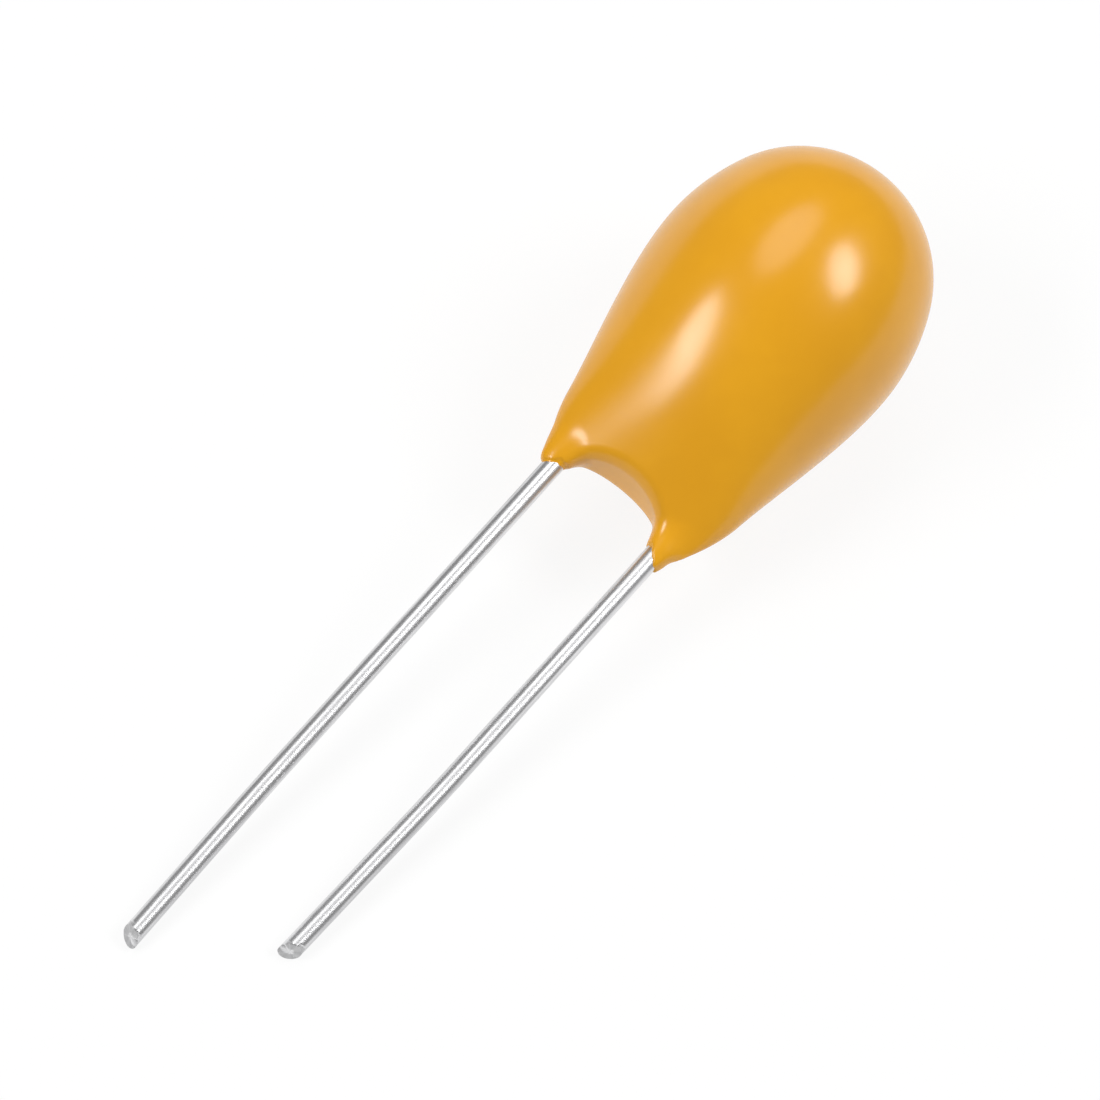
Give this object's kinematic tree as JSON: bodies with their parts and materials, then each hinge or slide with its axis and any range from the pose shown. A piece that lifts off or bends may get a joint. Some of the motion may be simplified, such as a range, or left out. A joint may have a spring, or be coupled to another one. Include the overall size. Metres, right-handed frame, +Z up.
{
  "type": "tantalum capacitor",
  "caption": "Dipped radial-lead tantalum capacitor lying at rest: glossy amber epoxy bulb with a saddle between parallel tinned wire leads, and its anode, skins and joints inside.",
  "frame": {"origin": "middle of the footprint of the part at rest, on the floor", "axes": "+X from the lead tips towards the crown of the bulb, +Y towards the longer positive lead, +Z up"},
  "size_m": [0.021, 0.0054, 0.0054],
  "materials": {
    "coat_epoxy": "glossy opaque amber dip coat",
    "tinned_wire": "drawn and tinned wire with lengthwise streaks",
    "sintered_tantalum": "grey granular sintered metal",
    "tantalum_wire": "drawn grey-blue wire",
    "white_fluoropolymer": "waxy white",
    "manganese_dioxide": "fine crystalline black",
    "graphite": "dark satin",
    "silver_paint": "matt flake silver",
    "weld_metal": "heat-tinted",
    "solder": "soft satin with small ripples"
  },
  "bodies": {
    "root": {"epoxy_coat": "coat_epoxy", "positive_lead": "tinned_wire", "negative_lead": "tinned_wire", "anode_pellet": "sintered_tantalum", "anode_riser_wire": "tantalum_wire", "riser_washer": "white_fluoropolymer", "manganese_dioxide_layer": "manganese_dioxide", "graphite_layer": "graphite", "silver_layer": "silver_paint", "weld_nugget": "weld_metal", "solder_joint": "solder"}
  },
  "joints": []
}
